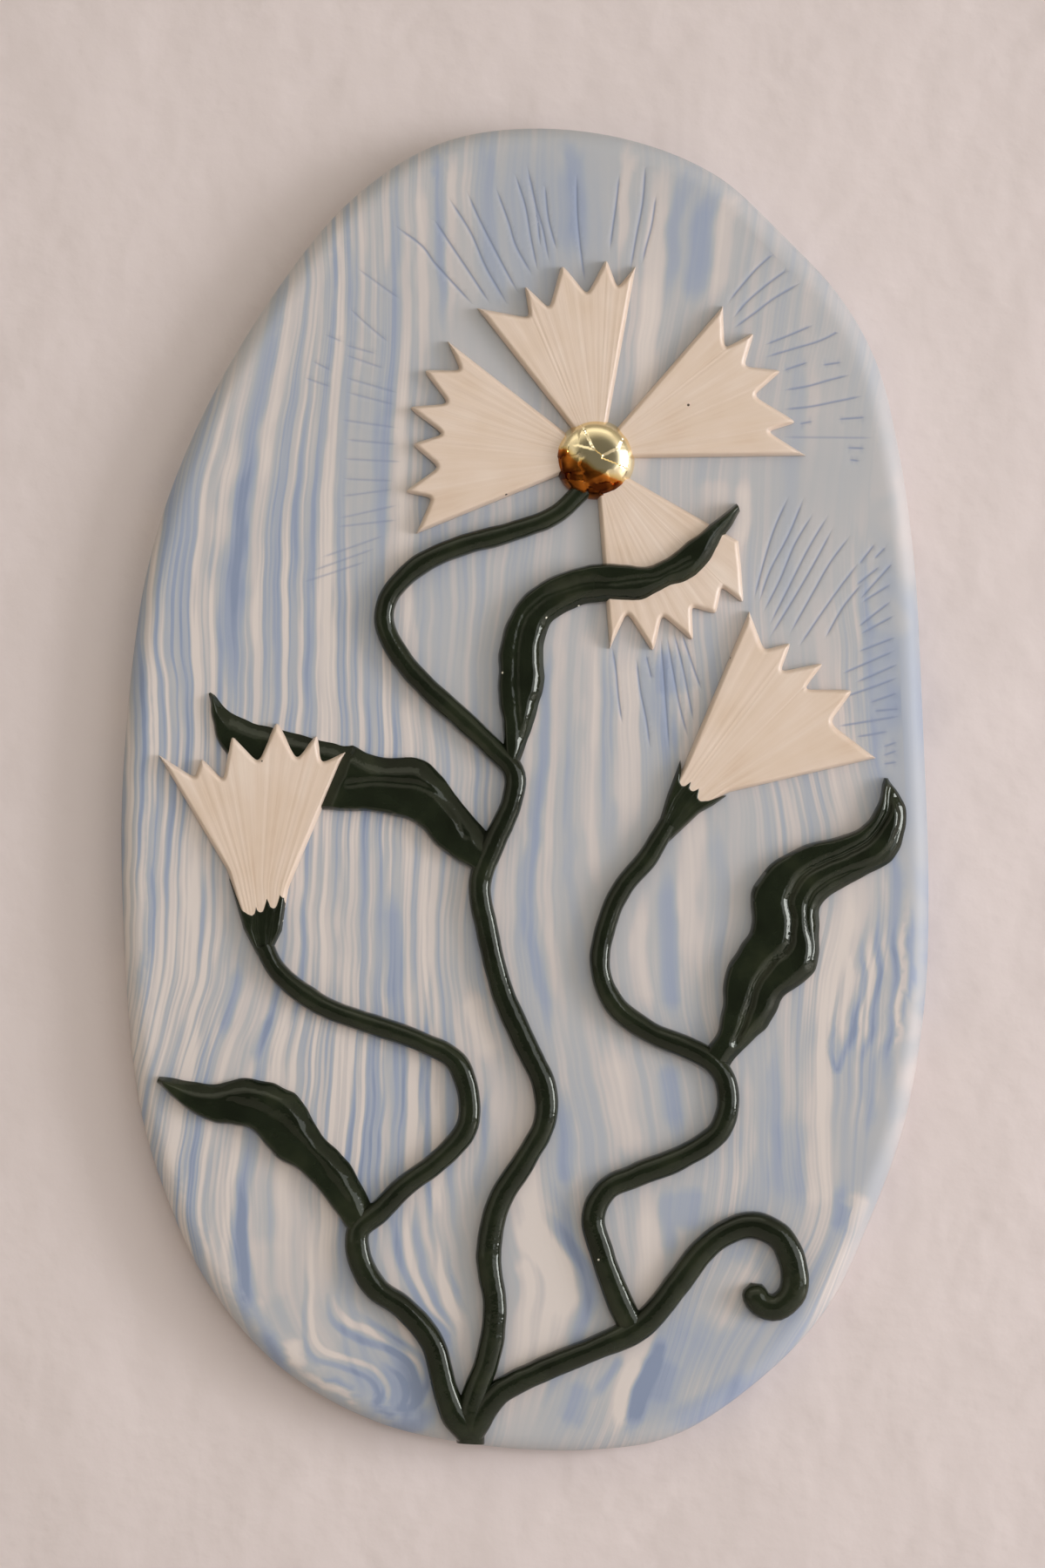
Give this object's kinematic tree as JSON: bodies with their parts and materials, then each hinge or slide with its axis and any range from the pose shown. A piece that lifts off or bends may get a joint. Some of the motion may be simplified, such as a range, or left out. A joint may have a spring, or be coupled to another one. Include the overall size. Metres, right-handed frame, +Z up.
{
  "type": "decorative wall plaque",
  "caption": "Oval marbled porcelain wall plaque with a flowering plant in raised, glazed relief and a recess in the back for hanging.",
  "frame": {"origin": "middle of the plaque's height and width, on its flat back", "axes": "+Z up the plaque as it hangs, +X to the right as seen from the front, +Y out of the back into the wall, so the relief faces -Y"},
  "size_m": [0.1834, 0.0167, 0.3],
  "materials": {
    "marbled_porcelain": "blue, grey and cream clays marbled together under a thin satin clear glaze",
    "green_glaze": "very dark green glaze, deep gloss, thin and paler on the edges",
    "cream_porcelain": "unstained porcelain, satin, finely combed",
    "gold_lustre": "fired gold lustre, mirror bright on a crumpled dome"
  },
  "bodies": {
    "root": {"slab": "marbled_porcelain", "middle_stem": "green_glaze", "left_stem": "green_glaze", "tendril": "green_glaze", "right_stem": "green_glaze", "top_leaf": "green_glaze", "upper_left_leaf": "green_glaze", "right_leaf": "green_glaze", "lower_left_leaf": "green_glaze", "left_petal": "cream_porcelain", "top_petal": "cream_porcelain", "right_petal": "cream_porcelain", "lower_petal": "cream_porcelain", "left_flower": "cream_porcelain", "right_flower": "cream_porcelain", "gold_centre": "gold_lustre"}
  },
  "joints": []
}
